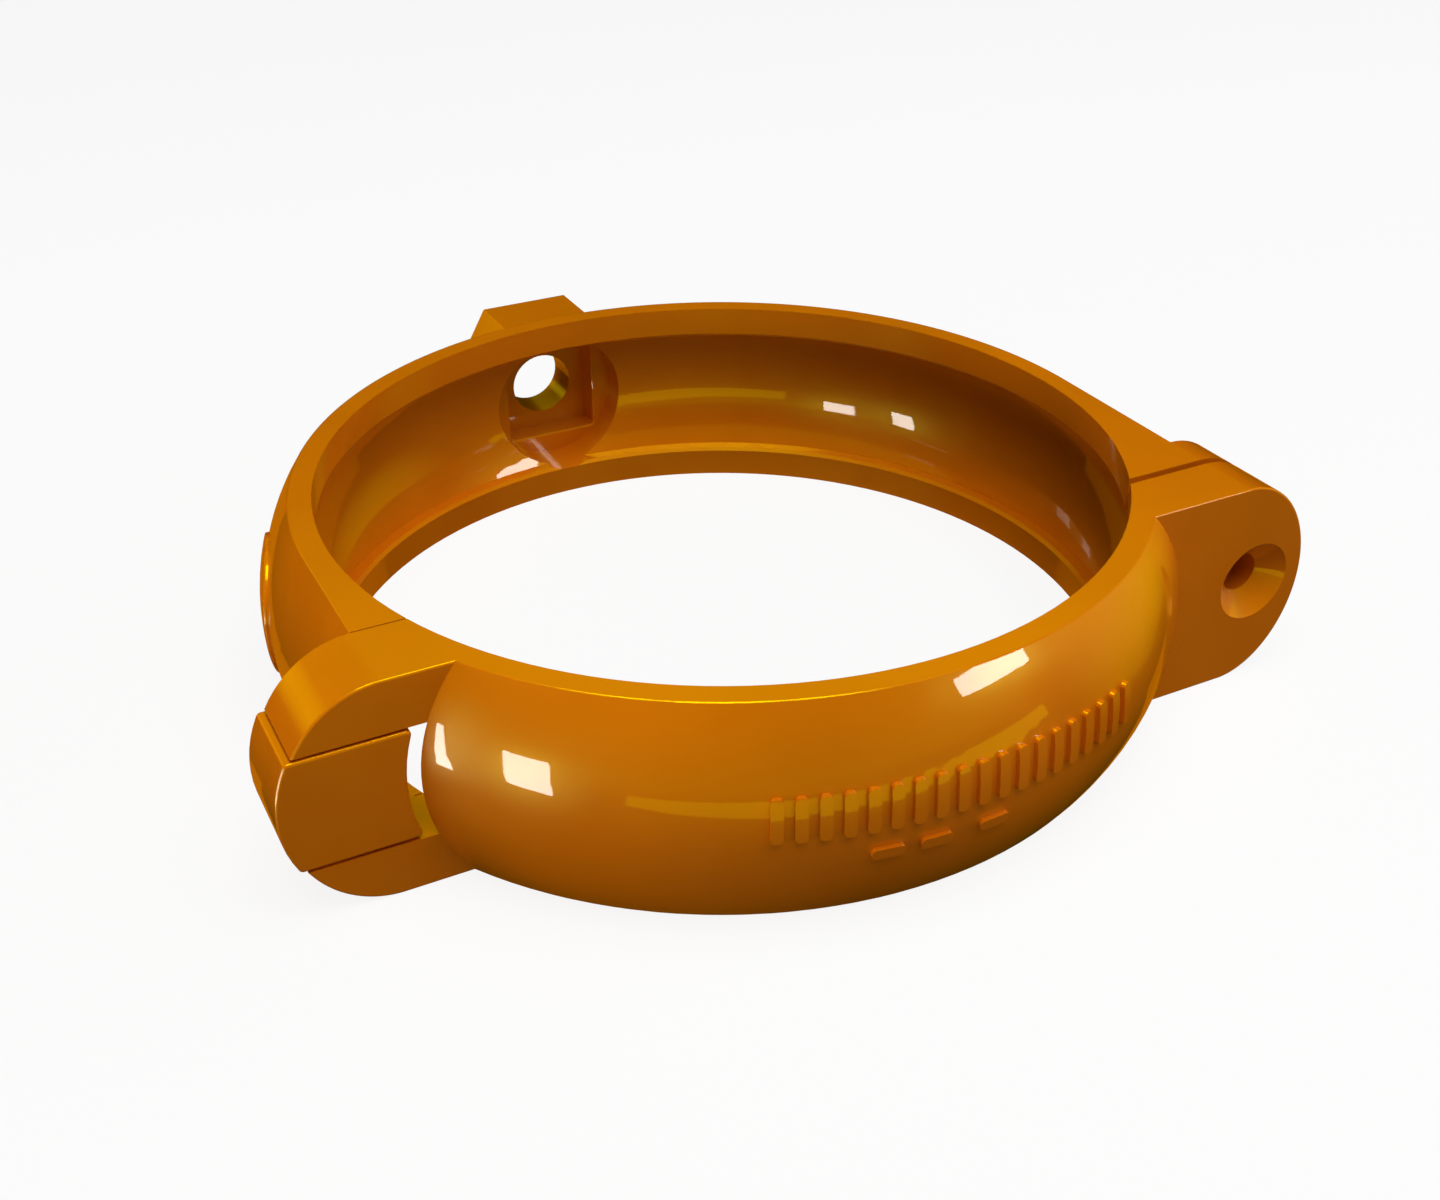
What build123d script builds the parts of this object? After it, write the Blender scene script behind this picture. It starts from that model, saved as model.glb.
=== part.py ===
from build123d import *
import math
import os

# Hinged two-part clamp that holds a round downpipe off a wall.
#
# The origin is the middle of the pipe bore. +Z runs along the pipe and +Y points at the wall.
# The hinge is on the -X side and the two closing lugs are on the +X side.
# Sizes are in millimetres.

# Driving dimensions: the ring
pipe_diameter = 80.0
ring_height = 22.0
rim_radius = 42.3            # outside radius at the top and bottom faces
belly_radius = 45.7          # outside radius at mid-height
wall = 2.35                  # thickness between the lips
lip_height = 3.5             # each of the two lips that touch the pipe
edge_round = 0.2             # outside edges of the mouldings
lip_chamfer = 0.35           # inner corners of the lips

# Driving dimensions: where the ring is split
hinge_split_y = -14.1        # end face of the wall half on the hinge side
hinge_split_gap = 0.15
lug_split_y = -22.1          # front face of the wall half's lug
lug_split_gap = 0.9

# Driving dimensions: closing lugs
lug_reach = 8.7              # from the ring's rim to the lug's tip
wall_lug_thickness = 4.5
front_lug_thickness = 6.3
screw_x = 44.95
screw_hole_radius = 2.05
countersink_radius = 4.2
pilot_radius = 1.6
pilot_depth = 4.0

# Driving dimensions: hinge
ear_reach = 9.4              # from the ring's rim to the tip of the fork's ears
ear_front_y = -22.3
tongue_height = 11.1
slot_height = 11.7
tongue_reach = 9.9           # the tongue stands a little proud of the ears
tongue_front_y = -22.4
tongue_corner_round = 0.45
tongue_edge_round = 0.25
tongue_inset = 0.08          # step from the inside of the arm to the inside of the tongue
hinge_x = -46.5
hinge_y = -18.2
pin_radius = 1.5
pin_running_clearance = 0.05
pin_top = 7.5                # blind end in the upper ear
pin_bottom = -8.1            # just inside the lower ear's outer face
pin_chamfer = 0.3

# Driving dimensions: hexagonal wall boss
boss_across_flats = 18.4
boss_end_y = 52.9
seat_radius = 7.9            # round seat that opens into the bore
seat_floor_y = 45.4
nut_pocket_width = 11.0
nut_pocket_floor_y = 48.4
nut_pocket_corner_round = 0.4
nut_pocket_chamfer = 0.15    # round the mouth of the pocket
stud_hole_radius = 3.7

# Driving dimensions: raised marks on the front belly
mark_proud = 0.45
mark_corner_share = 0.4      # corner radius as a share of the mark's shorter side
tall_mark_count = 19
tall_mark_width = 1.1
tall_mark_height = 4.2
tall_mark_z = 1.75
tall_mark_first_angle = -112.0
tall_mark_last_angle = -66.8
dash_angles = (-100.1, -94.6, -87.5)
dash_width = 3.0
dash_height = 1.1
dash_z = -2.9

# Driving dimensions: raised pad on the wall half's belly, near the hinge
pad_proud = 0.4
pad_angle = 164.5
pad_width = 13.0
pad_height = 13.0
pad_edge_round = 0.25

# Derived dimensions
half_height = ring_height / 2
bore_radius = pipe_diameter / 2
recess_half_height = half_height - lip_height
bulge = belly_radius - rim_radius
barrel_arc = (half_height**2 + bulge**2) / (2 * bulge)
barrel_arc_centre = belly_radius - barrel_arc
inner_arc = barrel_arc - wall
plate_inner_x = 28.0         # lug and ear plates start here, inside the ring's wall
beyond = 60.0                # reaches past every outside face
touch = 0.01                 # two places closer than this are the same place


def barrel_radius(z, arc=barrel_arc):
    """Radius of the barrel's outside, or of a parallel surface inside it, at height z."""
    return barrel_arc_centre + math.sqrt(arc**2 - z**2)


def barrel_section(proud=0.0):
    """Half section of the barrel, from the pipe's axis out to the bulging outside."""
    rim = rim_radius + proud
    outline = Polyline((rim, half_height), (0, half_height), (0, -half_height), (rim, -half_height))
    outline += ThreePointArc((rim, -half_height), (belly_radius + proud, 0), (rim, half_height))
    return make_face(Plane.XZ * outline)


def bore_and_recess():
    """The space inside the ring: the pipe bore, and the hollow between the two lips."""
    recess_edge = barrel_radius(recess_half_height, inner_arc)
    end = half_height + 1
    outline = Polyline(
        (recess_edge, recess_half_height),
        (bore_radius, recess_half_height),
        (bore_radius, end),
        (0, end),
        (0, -end),
        (bore_radius, -end),
        (bore_radius, -recess_half_height),
        (recess_edge, -recess_half_height),
    )
    outline += ThreePointArc(
        (recess_edge, -recess_half_height),
        (belly_radius - wall, 0),
        (recess_edge, recess_half_height),
    )
    section = make_face(Plane.XZ * outline)
    lip_corners = [
        v for v in section.vertices()
        if abs(v.X - bore_radius) < touch and abs(v.Z) < half_height
    ]
    return revolve(chamfer(lip_corners, lip_chamfer), Axis.Z)


def block(x_range, y_range, z_range):
    """Box between the given lowest and highest coordinates."""
    corner = [low for low, high in (x_range, y_range, z_range)]
    size = [high - low for low, high in (x_range, y_range, z_range)]
    return Pos(*corner) * Box(*size, align=(Align.MIN, Align.MIN, Align.MIN))


def d_plate(side, reach, back_y, front_y):
    """Plate across the ring's wall: flat above and below, with a half-ellipse outer end."""
    outline = Polyline(
        (rim_radius, half_height),
        (plate_inner_x, half_height),
        (plate_inner_x, -half_height),
        (rim_radius, -half_height),
    )
    outline += EllipticalCenterArc((rim_radius, 0), reach, half_height, start_angle=-90, arc_size=180)
    plate = y_prism(make_face(Plane.XZ * outline), back_y, front_y)
    return plate if side > 0 else mirror(plate, Plane.YZ)


def on_end_faces(edge):
    """True for an edge that lies in the ring's top or bottom face."""
    return all(abs(abs(v.Z) - half_height) < touch for v in edge.vertices())


def rim_edges(body):
    """Outer edges of the ring's top and bottom faces, round and straight."""
    def distance_out(edge):
        if edge.geom_type == GeomType.CIRCLE:
            return edge.radius
        return abs(edge.center().X)

    in_faces = [e for e in body.edges() if on_end_faces(e)]
    return [e for e in in_faces if abs(distance_out(e) - rim_radius) < touch]


def plate_edges(body, front_y):
    """Outer edges of the front face of a lug or of the fork's ears."""
    in_face = [e for e in body.edges() if all(abs(v.Y - front_y) < touch for v in e.vertices())]
    return [
        e for e in in_face
        if e.geom_type == GeomType.ELLIPSE or (e.geom_type == GeomType.LINE and on_end_faces(e))
    ]


def y_cylinder(radius, back_y, front_y, x=0.0):
    """Cylinder along Y between two planes, at mid-height."""
    return Pos(x, (back_y + front_y) / 2, 0) * Rot(90, 0, 0) * Cylinder(radius, back_y - front_y)


def y_prism(face, back_y, front_y):
    """Solid with the given section, which lies in the XZ plane, between two planes."""
    return extrude(Pos(0, back_y, 0) * face, back_y - front_y, dir=(0, -1, 0))


def barrel():
    """The ring's outside as a solid of revolution."""
    return revolve(barrel_section(), Axis.Z)


def straight_arm(side, end_y):
    """The wall half runs on past its half circle as a straight arm of the same section."""
    arm = y_prism(barrel_section(), 0, end_y)
    return arm if side > 0 else mirror(arm, Plane.YZ)


def tongue():
    """Block on the end of the hinge-side arm that fits between the fork's ears."""
    half_z = tongue_height / 2

    def outer_x(z):
        return -rim_radius - tongue_reach * math.sqrt(1 - (z / half_height)**2)

    def inner_x(z):
        return -math.sqrt(barrel_radius(z, inner_arc)**2 - hinge_split_y**2) - tongue_inset

    outline = ThreePointArc((outer_x(-half_z), -half_z), (outer_x(0), 0), (outer_x(half_z), half_z))
    outline += Line((outer_x(half_z), half_z), (inner_x(half_z), half_z))
    outline += ThreePointArc((inner_x(half_z), half_z), (inner_x(0), 0), (inner_x(-half_z), -half_z))
    outline += Line((inner_x(-half_z), -half_z), (outer_x(-half_z), -half_z))
    section = make_face(Plane.XZ * outline)
    section = fillet(section.vertices(), tongue_corner_round)
    solid = y_prism(section, hinge_split_y, tongue_front_y)
    solid = fillet(solid.faces().sort_by(Axis.Y)[0].edges(), tongue_edge_round)
    bore = Cylinder(pin_radius + pin_running_clearance, ring_height)
    return solid - Pos(hinge_x, hinge_y, 0) * bore


def wall_boss():
    """Hexagonal boss with flats above and below, standing out towards the wall."""
    root_y = barrel_radius(0, inner_arc) - 1
    hexagon = Plane.XZ * RegularPolygon(boss_across_flats / 2, 6, major_radius=False)
    boss = y_prism(hexagon, boss_end_y, root_y)
    corner_edges = boss.edges().filter_by(Axis.Y)
    boss = fillet(corner_edges, edge_round)
    return fillet(boss.faces().sort_by(Axis.Y)[-1].edges(), edge_round)


def boss_bores():
    """Seat, square nut pocket and stud hole, all on one axis through the boss."""
    mouth_y = bore_radius - 5
    pocket = Rectangle(nut_pocket_width, nut_pocket_width)
    pocket = fillet(pocket.vertices(), nut_pocket_corner_round)
    pocket = y_prism(Plane.XZ * pocket, nut_pocket_floor_y, mouth_y)
    seat = y_cylinder(seat_radius, seat_floor_y, mouth_y)
    stud_hole = y_cylinder(stud_hole_radius, boss_end_y + 1, mouth_y)
    bores = seat + pocket + stud_hole
    straight_edges = bores.edges().filter_by(GeomType.LINE)
    pocket_mouth = [e for e in straight_edges if abs(e.center().Y - seat_floor_y) < touch]
    return chamfer(pocket_mouth, nut_pocket_chamfer)


def wall_half():
    """The half that is fixed to the wall."""
    half_ring = barrel() & block((-beyond, beyond), (0, beyond), (-half_height, half_height))
    lug_back_y = lug_split_y + wall_lug_thickness
    lug = d_plate(1, lug_reach, lug_back_y, lug_split_y)
    body = half_ring + straight_arm(-1, hinge_split_y) + straight_arm(1, lug_split_y) + lug
    body -= bore_and_recess()
    body = fillet(rim_edges(body), edge_round)
    body += side_pad()
    body += wall_boss() - bore_and_recess()
    body -= boss_bores()
    body -= y_cylinder(pilot_radius, lug_split_y + pilot_depth, lug_split_y - 1, x=screw_x)
    return body + tongue()


def hinge_slot():
    """The gap between the ears, which also goes through the ring's wall beside them."""
    return block(
        (-beyond, -plate_inner_x),
        (ear_front_y, hinge_split_y),
        (-slot_height / 2, slot_height / 2),
    )


def countersunk_hole():
    """Clearance hole for the closing screw, with a 90 degree countersink."""
    face_y = lug_split_y - lug_split_gap - front_lug_thickness
    hole = y_cylinder(screw_hole_radius, lug_split_y, face_y - 1, x=screw_x)
    depth = countersink_radius - screw_hole_radius
    cone = Cone(screw_hole_radius, countersink_radius, depth)
    return hole + Pos(screw_x, face_y + depth / 2, 0) * Rot(90, 0, 0) * cone


def raised_mark(angle, z, width, height):
    """Peg with rounded corners that stands out of the belly along a radius."""
    outward = (math.cos(angle), math.sin(angle), 0)
    sideways = (math.sin(angle), -math.cos(angle), 0)
    corner = mark_corner_share * min(width, height)
    plane = Plane(origin=(0, 0, z), x_dir=sideways, z_dir=outward)
    return extrude(plane * RectangleRounded(width, height, corner), beyond)


def skin(proud):
    """Thin shell over the barrel, standing out by the given amount and rooted in the wall."""
    return revolve(barrel_section(proud), Axis.Z) - revolve(barrel_section(-wall / 2), Axis.Z)


def side_pad():
    """Low pad with rounded corners on the outside of the wall half."""
    pad = raised_mark(math.radians(pad_angle), 0, pad_width, pad_height) & skin(pad_proud)
    outer_face = pad.faces().sort_by(lambda face: face.center().length)[-1]
    return fillet(outer_face.edges(), pad_edge_round)


def raised_marks():
    """One row of upright bars and a short row of dashes, lying on the barrel's curve."""
    step = (tall_mark_last_angle - tall_mark_first_angle) / (tall_mark_count - 1)
    pegs = []
    for number in range(tall_mark_count):
        angle = math.radians(tall_mark_first_angle + number * step)
        pegs.append(raised_mark(angle, tall_mark_z, tall_mark_width, tall_mark_height))
    for degrees in dash_angles:
        pegs.append(raised_mark(math.radians(degrees), dash_z, dash_width, dash_height))
    mark_skin = skin(mark_proud)
    return [peg & mark_skin for peg in pegs]


def front_half():
    """The half that swings open on the hinge and is screwed shut over the pipe."""
    hinge_back_y = hinge_split_y - hinge_split_gap
    lug_back_y = lug_split_y - lug_split_gap
    z_range = (-half_height, half_height)
    hinge_side = block((-beyond, 0), (-beyond, hinge_back_y), z_range)
    lug_side = block((0, beyond), (-beyond, lug_back_y), z_range)
    lug_front_y = lug_back_y - front_lug_thickness
    ears = d_plate(-1, ear_reach, hinge_back_y, ear_front_y)
    lug = d_plate(1, lug_reach, lug_back_y, lug_front_y)
    body = (barrel() & (hinge_side + lug_side)) + ears + lug
    body -= bore_and_recess()
    body -= hinge_slot()
    outer_edges = rim_edges(body) + plate_edges(body, ear_front_y) + plate_edges(body, lug_front_y)
    body = fillet(outer_edges, edge_round)
    body -= countersunk_hole()
    pin_hole = Cylinder(pin_radius, pin_top + beyond, align=(Align.CENTER, Align.CENTER, Align.MAX))
    body -= Pos(hinge_x, hinge_y, pin_top) * pin_hole
    for mark in raised_marks():
        body += mark
    return body


def hinge_pin():
    """Round pin, fixed in both ears, that the tongue turns on."""
    length = pin_top - pin_bottom
    pin = Pos(hinge_x, hinge_y, pin_bottom + length / 2) * Cylinder(pin_radius, length)
    end_edges = pin.edges().filter_by(GeomType.CIRCLE)
    return chamfer(end_edges, pin_chamfer)


nodes = {
    "wall_half": wall_half,
    "front_half": front_half,
    "hinge_pin": hinge_pin,
}

os.makedirs("parts", exist_ok=True)
for name, make in nodes.items():
    shape = make()
    shape.label = name
    export_step(shape, f"parts/{name}.step")
    print(name, "volume", round(shape.volume, 1), "solids", len(shape.solids()))
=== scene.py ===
import math

import bpy
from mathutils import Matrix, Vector


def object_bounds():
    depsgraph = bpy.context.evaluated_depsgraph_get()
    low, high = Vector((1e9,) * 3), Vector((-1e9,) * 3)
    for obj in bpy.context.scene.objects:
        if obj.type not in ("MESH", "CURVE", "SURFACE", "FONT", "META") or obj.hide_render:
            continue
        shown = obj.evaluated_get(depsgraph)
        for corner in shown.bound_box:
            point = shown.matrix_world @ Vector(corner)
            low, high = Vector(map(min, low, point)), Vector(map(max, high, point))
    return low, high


# Looks for a hinged plastic clamp for an 80 mm downpipe: one glossy amber plastic for both mouldings,
# drawn steel for the hinge pin, and a small product studio. Lengths are in metres.

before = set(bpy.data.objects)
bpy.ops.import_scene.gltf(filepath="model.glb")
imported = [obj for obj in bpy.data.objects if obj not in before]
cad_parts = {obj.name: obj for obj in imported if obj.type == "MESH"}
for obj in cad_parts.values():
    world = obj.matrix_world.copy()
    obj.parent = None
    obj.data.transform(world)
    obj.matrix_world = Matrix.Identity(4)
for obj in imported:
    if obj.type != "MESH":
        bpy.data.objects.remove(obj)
cad_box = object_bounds()

# Camera. Azimuth 0 looks along +Y, and a negative one stands to the left of that.
camera_azimuth = math.radians(-27.5)
camera_elevation = math.radians(31.4)
camera_distance = 0.1669
camera_target = Vector((-0.0042, -0.0078, 0.0))
camera_lens_mm = 42.37
camera_sensor_mm = 36.0

# Amber plastic: a coloured body with a soft warm sheen, under a hard glossy skin
plastic_dark = (0.605, 0.134, 0.0010, 1.0)
plastic_light = (0.695, 0.162, 0.0014, 1.0)
plastic_sheen = (0.80, 1.0, 0.05, 1.0)
sheen_level = 0.50
sheen_roughness = (0.28, 0.38)
skin_roughness = (0.01, 0.03)
plastic_ior = 1.5
clouding_scale = 45                  # the noise scales are in features per metre
polish_scale = 160
peel_scale = 420
peel_depth = 0.00010
grain_scale = 2600
grain_depth = 0.00002
skin_bump = 0.05                     # strength of the peel and of the grain

# Hinge pin steel
steel_dark = (0.36, 0.36, 0.37, 1.0)
steel_light = (0.62, 0.62, 0.63, 1.0)
steel_roughness = (0.22, 0.38)
steel_line_scale = 9000
steel_line_depth = 0.00002
steel_bump = 0.3
steel_stretch = (1, 1, 0.02)         # draws the noise out along the pin

# Where noise starts and ends on a colour ramp, and the narrower band that most of its values lie in
noise_stops = (0.3, 0.7)
noise_band = (0.35, 0.65)

# Studio
floor_half_width = 0.5               # the side boxes light the floor out to about here
floor_colour = (0.90, 0.90, 0.895, 1.0)
floor_glow = 0.88                    # share of the floor's white that is its own light
backdrop_colour = (0.97, 0.97, 0.97, 1.0)
warm = (1.0, 0.74, 0.0)              # colour of the dim reflections
amber = (1.0, 0.27, 0.0)             # grazing reflections take on the plastic's own colour
window_colour = (1.0, 0.93, 0.88)
window_radiance = 14.5
fill_strength = 0.42                 # soft low light from the front
fill_fades = (0.30, 0.34)            # it fades out over these heights of a unit direction
dome_tilt = math.radians(22.0)       # the reflected studio's horizon dips this far on the camera's side
dome_strength = 0.9

# Bands of the reflected dome: a height, from 0 straight down to 1 straight up along the dome's tilted
# axis, and the share of the dome's strength there
dome_bands = (
    (0.0, 0.03),
    (0.49, 0.08),
    (0.50, 0.18),
    (0.54, 0.22),
    (0.60, 0.78),
    (0.965, 0.70),
    (1.0, 0.10),
)

# Soft glows in the reflected dome: azimuth from +X, elevation, cosine of the half angle, strength
dome_glows = (
    (math.radians(-8), 0.0, 0.88, 1.0),
    (math.radians(62), math.radians(42), 0.94, 0.7),
    (math.radians(122), math.radians(13), 0.978, 1.5),
)


def towards(azimuth, elevation):
    """Unit vector for a compass angle from +X and a height angle, both in radians."""
    level = math.cos(elevation)
    return Vector((level * math.cos(azimuth), level * math.sin(azimuth), math.sin(elevation)))


def aim(obj, target):
    """Turn a camera or a light so that it looks at the target."""
    obj.rotation_euler = (target - obj.location).to_track_quat("-Z", "Y").to_euler()


def link(obj):
    """Put a new object in the scene."""
    bpy.context.scene.collection.objects.link(obj)
    return obj


def new_material(name):
    """A material with an empty node tree, and its output node."""
    material = bpy.data.materials.new(name)
    material.use_nodes = True
    material.node_tree.nodes.clear()
    output = material.node_tree.nodes.new("ShaderNodeOutputMaterial")
    return material, material.node_tree, output


def add_noise(tree, coordinates, scale, detail, stretch=(1, 1, 1)):
    """Noise over object space."""
    mapping = tree.nodes.new("ShaderNodeMapping")
    mapping.inputs["Scale"].default_value = stretch
    tree.links.new(coordinates, mapping.inputs["Vector"])
    noise = tree.nodes.new("ShaderNodeTexNoise")
    noise.inputs["Scale"].default_value = scale
    noise.inputs["Detail"].default_value = detail
    tree.links.new(mapping.outputs["Vector"], noise.inputs["Vector"])
    return noise.outputs["Fac"]


def add_ramp(tree, factor, low_colour, high_colour):
    """Turn noise into a colour between two colours."""
    ramp = tree.nodes.new("ShaderNodeValToRGB")
    low, high = ramp.color_ramp.elements
    low.position, high.position = noise_stops
    low.color = low_colour
    high.color = high_colour
    tree.links.new(factor, ramp.inputs["Fac"])
    return ramp.outputs["Color"]


def add_range(tree, factor, low, high):
    """Turn noise into a value between low and high."""
    node = tree.nodes.new("ShaderNodeMapRange")
    node.inputs["From Min"].default_value = noise_band[0]
    node.inputs["From Max"].default_value = noise_band[1]
    node.inputs["To Min"].default_value = low
    node.inputs["To Max"].default_value = high
    tree.links.new(factor, node.inputs["Value"])
    return node.outputs["Result"]


def add_bump(tree, height, depth, strength, normal=None):
    """Raised and sunk detail from a height, on top of an earlier bump if there is one."""
    bump = tree.nodes.new("ShaderNodeBump")
    bump.inputs["Distance"].default_value = depth
    bump.inputs["Strength"].default_value = strength
    tree.links.new(height, bump.inputs["Height"])
    if normal is not None:
        tree.links.new(normal, bump.inputs["Normal"])
    return bump.outputs["Normal"]


def make_plastic(name):
    """Glossy amber moulding: soft clouding, a faint orange-peel skin and slightly uneven polish."""
    material, tree, output = new_material(name)
    shader = tree.nodes.new("ShaderNodeBsdfPrincipled")
    tree.links.new(shader.outputs["BSDF"], output.inputs["Surface"])
    place = tree.nodes.new("ShaderNodeTexCoord").outputs["Object"]

    clouding = add_noise(tree, place, clouding_scale, 3)
    colour = add_ramp(tree, clouding, plastic_dark, plastic_light)
    tree.links.new(colour, shader.inputs["Base Color"])

    polish = add_noise(tree, place, polish_scale, 4)
    tree.links.new(add_range(tree, polish, *sheen_roughness), shader.inputs["Roughness"])
    tree.links.new(add_range(tree, polish, *skin_roughness), shader.inputs["Coat Roughness"])

    peel = add_noise(tree, place, peel_scale, 2)
    grain = add_noise(tree, place, grain_scale, 3)
    skin = add_bump(tree, peel, peel_depth, skin_bump)
    skin = add_bump(tree, grain, grain_depth, skin_bump, skin)
    tree.links.new(skin, shader.inputs["Normal"])
    tree.links.new(skin, shader.inputs["Coat Normal"])

    shader.inputs["IOR"].default_value = plastic_ior
    shader.inputs["Specular IOR Level"].default_value = sheen_level
    shader.inputs["Specular Tint"].default_value = plastic_sheen
    shader.inputs["Coat Weight"].default_value = 1.0
    return material


def make_steel(name):
    """Drawn steel: fine lines along the pin, which is along Z."""
    material, tree, output = new_material(name)
    shader = tree.nodes.new("ShaderNodeBsdfPrincipled")
    tree.links.new(shader.outputs["BSDF"], output.inputs["Surface"])
    place = tree.nodes.new("ShaderNodeTexCoord").outputs["Object"]
    lines = add_noise(tree, place, steel_line_scale, 3, steel_stretch)
    tree.links.new(add_ramp(tree, lines, steel_dark, steel_light), shader.inputs["Base Color"])
    tree.links.new(add_range(tree, lines, *steel_roughness), shader.inputs["Roughness"])
    tree.links.new(add_bump(tree, lines, steel_line_depth, steel_bump), shader.inputs["Normal"])
    shader.inputs["Metallic"].default_value = 1.0
    return material


def make_floor_material():
    """Pale floor that is partly lit from within, like a light table, so that shadows stay faint."""
    material, tree, output = new_material("pale_floor")
    matt = tree.nodes.new("ShaderNodeBsdfDiffuse")
    matt.inputs["Color"].default_value = floor_colour
    glow = tree.nodes.new("ShaderNodeEmission")
    mix = tree.nodes.new("ShaderNodeMixShader")
    mix.inputs["Fac"].default_value = floor_glow
    tree.links.new(matt.outputs["BSDF"], mix.inputs[1])
    tree.links.new(glow.outputs["Emission"], mix.inputs[2])
    tree.links.new(mix.outputs["Shader"], output.inputs["Surface"])
    return material


def give(node, material):
    """Put one material on every slot of a CAD node."""
    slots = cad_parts[node].material_slots
    for slot in slots:
        slot.material = material


def build_floor():
    """Pale floor just under the clamp. It catches shadows but stays out of the plastic's reflections."""
    lowest = cad_box[0][2]
    bpy.ops.mesh.primitive_plane_add(size=2 * floor_half_width, location=(0, 0, lowest))
    floor = bpy.context.object
    floor.name = "floor"
    floor.data.materials.append(make_floor_material())
    floor.visible_diffuse = False
    floor.visible_glossy = False
    floor.visible_shadow = False


def build_camera():
    """Camera to the left of the clamp's front, looking down into the ring."""
    data = bpy.data.cameras.new("camera")
    data.lens = camera_lens_mm
    data.sensor_width = camera_sensor_mm
    data.clip_start = 0.01
    camera = link(bpy.data.objects.new("camera", data))
    from_target = towards(camera_azimuth - math.pi / 2, camera_elevation)
    camera.location = camera_target + camera_distance * from_target
    aim(camera, camera_target)
    bpy.context.scene.camera = camera


def add_panel(name, place, width, height, radiance, target=(0, 0, 0), roll=0.0):
    """Rectangular light of the given radiance that faces the target."""
    data = bpy.data.lights.new(name, "AREA")
    data.shape = "RECTANGLE"
    data.size = width
    data.size_y = height
    data.energy = radiance * math.pi * width * height
    light = link(bpy.data.objects.new(name, data))
    light.location = place
    aim(light, Vector(target))
    light.rotation_euler.rotate_axis("Z", roll)
    light.visible_camera = False
    return light


def build_softboxes():
    """Soft boxes that light the clamp. They don't show as reflections."""
    softboxes = (
        ("box_above", (0.0, -0.18, 0.57), 0.60, 0.50, 3.7),
        ("box_left", (-0.55, 0.06, 0.0), 0.35, 0.12, 11.5),
        ("box_right", (0.55, -0.15, 0.12), 0.35, 0.35, 2.8),
    )
    for name, place, width, height, radiance in softboxes:
        box = add_panel(name, place, width, height, radiance)
        box.visible_glossy = False


def build_reflections():
    """White windows and warm panels that only show as reflections in the glossy skin."""
    windows = (
        ("window_left_front", (-0.158, -0.073, -0.032), 0.031, 0.043, (0.0, 0.050, -0.032)),
        ("window_left", (-0.175, -0.012, -0.034), 0.022, 0.054, (0.0, 0.0, -0.034)),
        ("window_right_front", (0.264, -0.359, 0.140), 0.150, 0.060, (0.0, 0.0, 0.0)),
    )
    for name, place, width, height, target in windows:
        window = add_panel(name, place, width, height, window_radiance, target)
        window.data.color = window_colour
        window.visible_diffuse = False
    panels = (
        ("panel_front", (0.0, -0.25, -0.076), 0.52, 0.040, 1.8, warm, math.radians(6.5)),
        ("panel_back_low", (0.28, 0.53, -0.33), 1.20, 0.40, 0.45, amber, 0.0),
        ("panel_above", (0.0, 0.0, 0.60), 0.36, 0.36, 14.0, warm, 0.0),
    )
    for name, place, width, height, radiance, colour, roll in panels:
        panel = add_panel(name, place, width, height, radiance, roll=roll)
        panel.data.color = colour
        panel.visible_diffuse = False


def add_background(tree, strength, colour):
    """Light from all around, in one fixed colour or in the colour that another node gives."""
    node = tree.nodes.new("ShaderNodeBackground")
    node.inputs["Strength"].default_value = strength
    if isinstance(colour, tuple):
        node.inputs["Color"].default_value = colour
    else:
        tree.links.new(colour, node.inputs["Color"])
    return node.outputs["Background"]


def add_choice(tree, factor, otherwise, when_true):
    """One shader where the factor is 0, another where it is 1."""
    mix = tree.nodes.new("ShaderNodeMixShader")
    tree.links.new(factor, mix.inputs[0])
    tree.links.new(otherwise, mix.inputs[1])
    tree.links.new(when_true, mix.inputs[2])
    return mix.outputs["Shader"]


def add_height(tree, direction, up, lowest, highest):
    """How far a direction rises along up, from 0 at the lowest value to 1 at the highest."""
    dot = tree.nodes.new("ShaderNodeVectorMath")
    dot.operation = "DOT_PRODUCT"
    dot.inputs[1].default_value = up
    tree.links.new(direction, dot.inputs[0])
    height = tree.nodes.new("ShaderNodeMapRange")
    height.inputs["From Min"].default_value = lowest
    height.inputs["From Max"].default_value = highest
    tree.links.new(dot.outputs["Value"], height.inputs["Value"])
    return height.outputs["Result"]


def add_bands(tree, direction):
    """The reflected dome without its glows: warm bands round a tilted axis."""
    dome_up = towards(camera_azimuth - math.pi / 2, math.pi / 2 - dome_tilt)
    ramp = tree.nodes.new("ShaderNodeValToRGB")
    while len(ramp.color_ramp.elements) < len(dome_bands):
        ramp.color_ramp.elements.new(0.5)
    for element, (height, share) in zip(ramp.color_ramp.elements, dome_bands):
        element.position = height
        element.color = [share * channel for channel in warm] + [1.0]
    tree.links.new(add_height(tree, direction, dome_up, -1.0, 1.0), ramp.inputs["Fac"])
    return add_background(tree, dome_strength, ramp.outputs["Color"])


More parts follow.
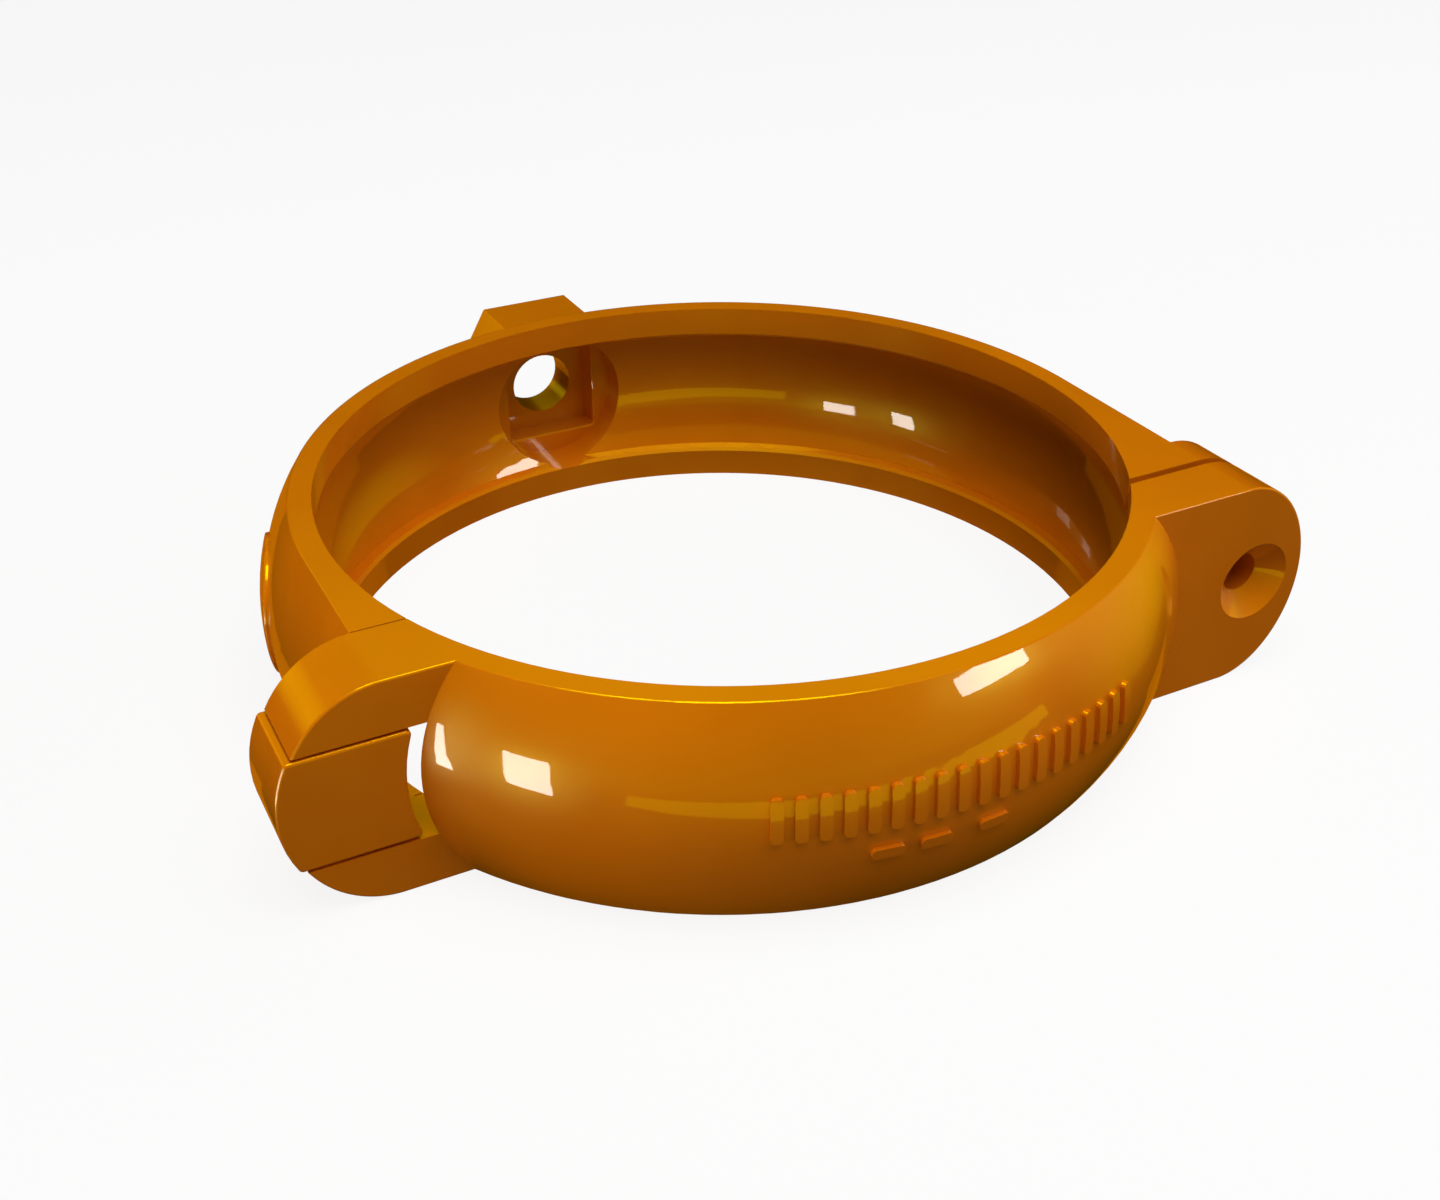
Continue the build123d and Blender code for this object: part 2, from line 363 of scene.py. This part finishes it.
def add_glow(tree, direction, azimuth, elevation, rim, strength):
    """Soft warm glow round one direction."""
    tinted = tree.nodes.new("ShaderNodeVectorMath")
    tinted.operation = "SCALE"
    tinted.inputs[0].default_value = warm
    share = add_height(tree, direction, towards(azimuth, elevation), rim, 1.0)
    tree.links.new(share, tinted.inputs["Scale"])
    return add_background(tree, strength, tinted.outputs["Vector"])


def add_reflected_studio(tree, direction):
    """What the glossy skin reflects: the dome with its glows."""
    studio = add_bands(tree, direction)
    for azimuth, elevation, rim, strength in dome_glows:
        glow = add_glow(tree, direction, azimuth, elevation, rim, strength)
        both = tree.nodes.new("ShaderNodeAddShader")
        tree.links.new(studio, both.inputs[0])
        tree.links.new(glow, both.inputs[1])
        studio = both.outputs["Shader"]
    return studio


def add_fill(tree, direction):
    """Soft light on the clamp from the front, low down and from below."""
    from_front = add_height(tree, direction, (0, -1, 0), 0.0, 1.0)
    low_down = add_height(tree, direction, (0, 0, -1), -fill_fades[1], -fill_fades[0])
    both = tree.nodes.new("ShaderNodeMath")
    both.operation = "MULTIPLY"
    tree.links.new(from_front, both.inputs[0])
    tree.links.new(low_down, both.inputs[1])
    return add_background(tree, fill_strength, both.outputs["Value"])


def build_world():
    """Studio all around: pale to the camera, warm bands in reflections, soft light on the clamp."""
    world = bpy.data.worlds.new("studio")
    world.use_nodes = True
    world.cycles.sampling_method = "NONE"
    bpy.context.scene.world = world
    tree = world.node_tree
    tree.nodes.clear()
    output = tree.nodes.new("ShaderNodeOutputWorld")
    ray = tree.nodes.new("ShaderNodeLightPath").outputs
    direction = tree.nodes.new("ShaderNodeTexCoord").outputs["Generated"]
    lighting = add_fill(tree, direction)
    reflected = add_reflected_studio(tree, direction)
    seen = add_background(tree, 1.0, backdrop_colour)
    chosen = add_choice(tree, ray["Is Glossy Ray"], lighting, reflected)
    chosen = add_choice(tree, ray["Is Camera Ray"], chosen, seen)
    tree.links.new(chosen, output.inputs["Surface"])


bpy.context.scene.view_settings.view_transform = "Standard"
give("wall_half", make_plastic("amber_plastic_wall_half"))
give("front_half", make_plastic("amber_plastic_front_half"))
give("hinge_pin", make_steel("drawn_steel"))
build_floor()
build_camera()
build_softboxes()
build_reflections()
build_world()
